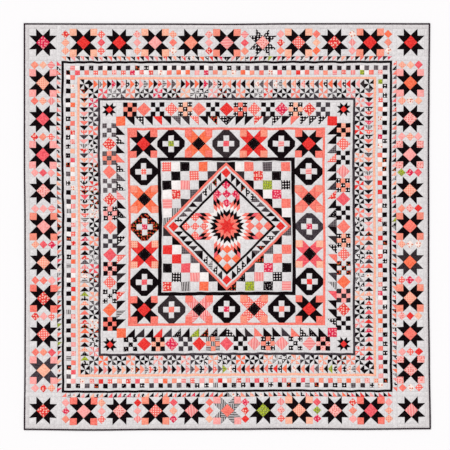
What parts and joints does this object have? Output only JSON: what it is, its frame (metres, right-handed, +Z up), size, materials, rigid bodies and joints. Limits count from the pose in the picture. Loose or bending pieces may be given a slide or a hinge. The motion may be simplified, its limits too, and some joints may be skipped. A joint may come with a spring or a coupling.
{
  "type": "patchwork quilt",
  "caption": "Square patchwork quilt in black, coral and pale grey cotton, lying flat, with a narrow black binding.",
  "frame": {"origin": "on the surface that the quilt lies on, under the middle of its box", "axes": "+Z up out of the quilt's face, +X across the quilt to the right, +Y along it towards its head edge"},
  "size_m": [2.109, 2.1113, 0.0072],
  "materials": {
    "patchwork_cotton": "matte",
    "binding_cotton": "matte",
    "backing_cotton": "matte",
    "quilting_thread": "matte"
  },
  "bodies": {
    "root": {"quilt_body": "patchwork_cotton", "binding_foot": "binding_cotton", "binding_right": "binding_cotton", "binding_head": "binding_cotton", "binding_left": "binding_cotton"}
  },
  "joints": []
}
